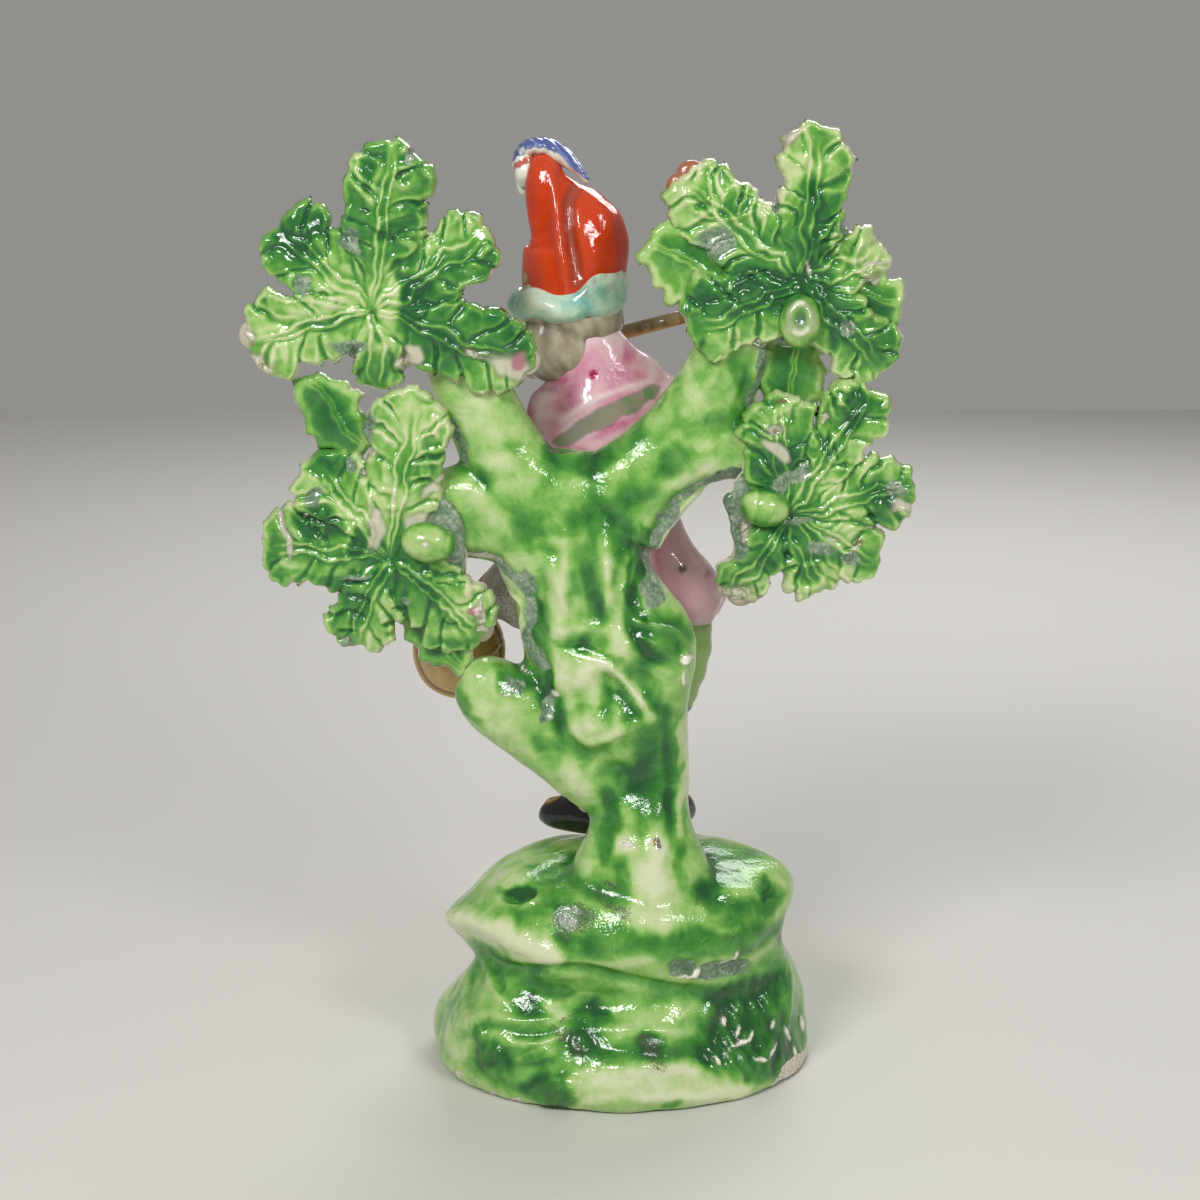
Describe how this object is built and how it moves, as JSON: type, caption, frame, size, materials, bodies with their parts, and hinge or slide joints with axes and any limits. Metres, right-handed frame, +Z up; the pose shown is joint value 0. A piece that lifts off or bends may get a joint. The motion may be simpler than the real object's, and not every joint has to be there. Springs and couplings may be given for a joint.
{
  "type": "bocage figure",
  "caption": "Glazed earthenware flute player on a rocky mound, backed by a stubby tree whose boughs end in pressed leaf sprays with flowers and acorns; made in one piece.",
  "frame": {"origin": "middle of the flat underside of the mound", "axes": "+Z up; the flute player faces -Y and the back of the tree faces +Y; +X is towards the player's left hand side"},
  "size_m": [0.1129, 0.057, 0.1649],
  "materials": {
    "glazed_earthenware": "gloss"
  },
  "bodies": {
    "root": {"bocage_figure": "glazed_earthenware"}
  },
  "joints": []
}
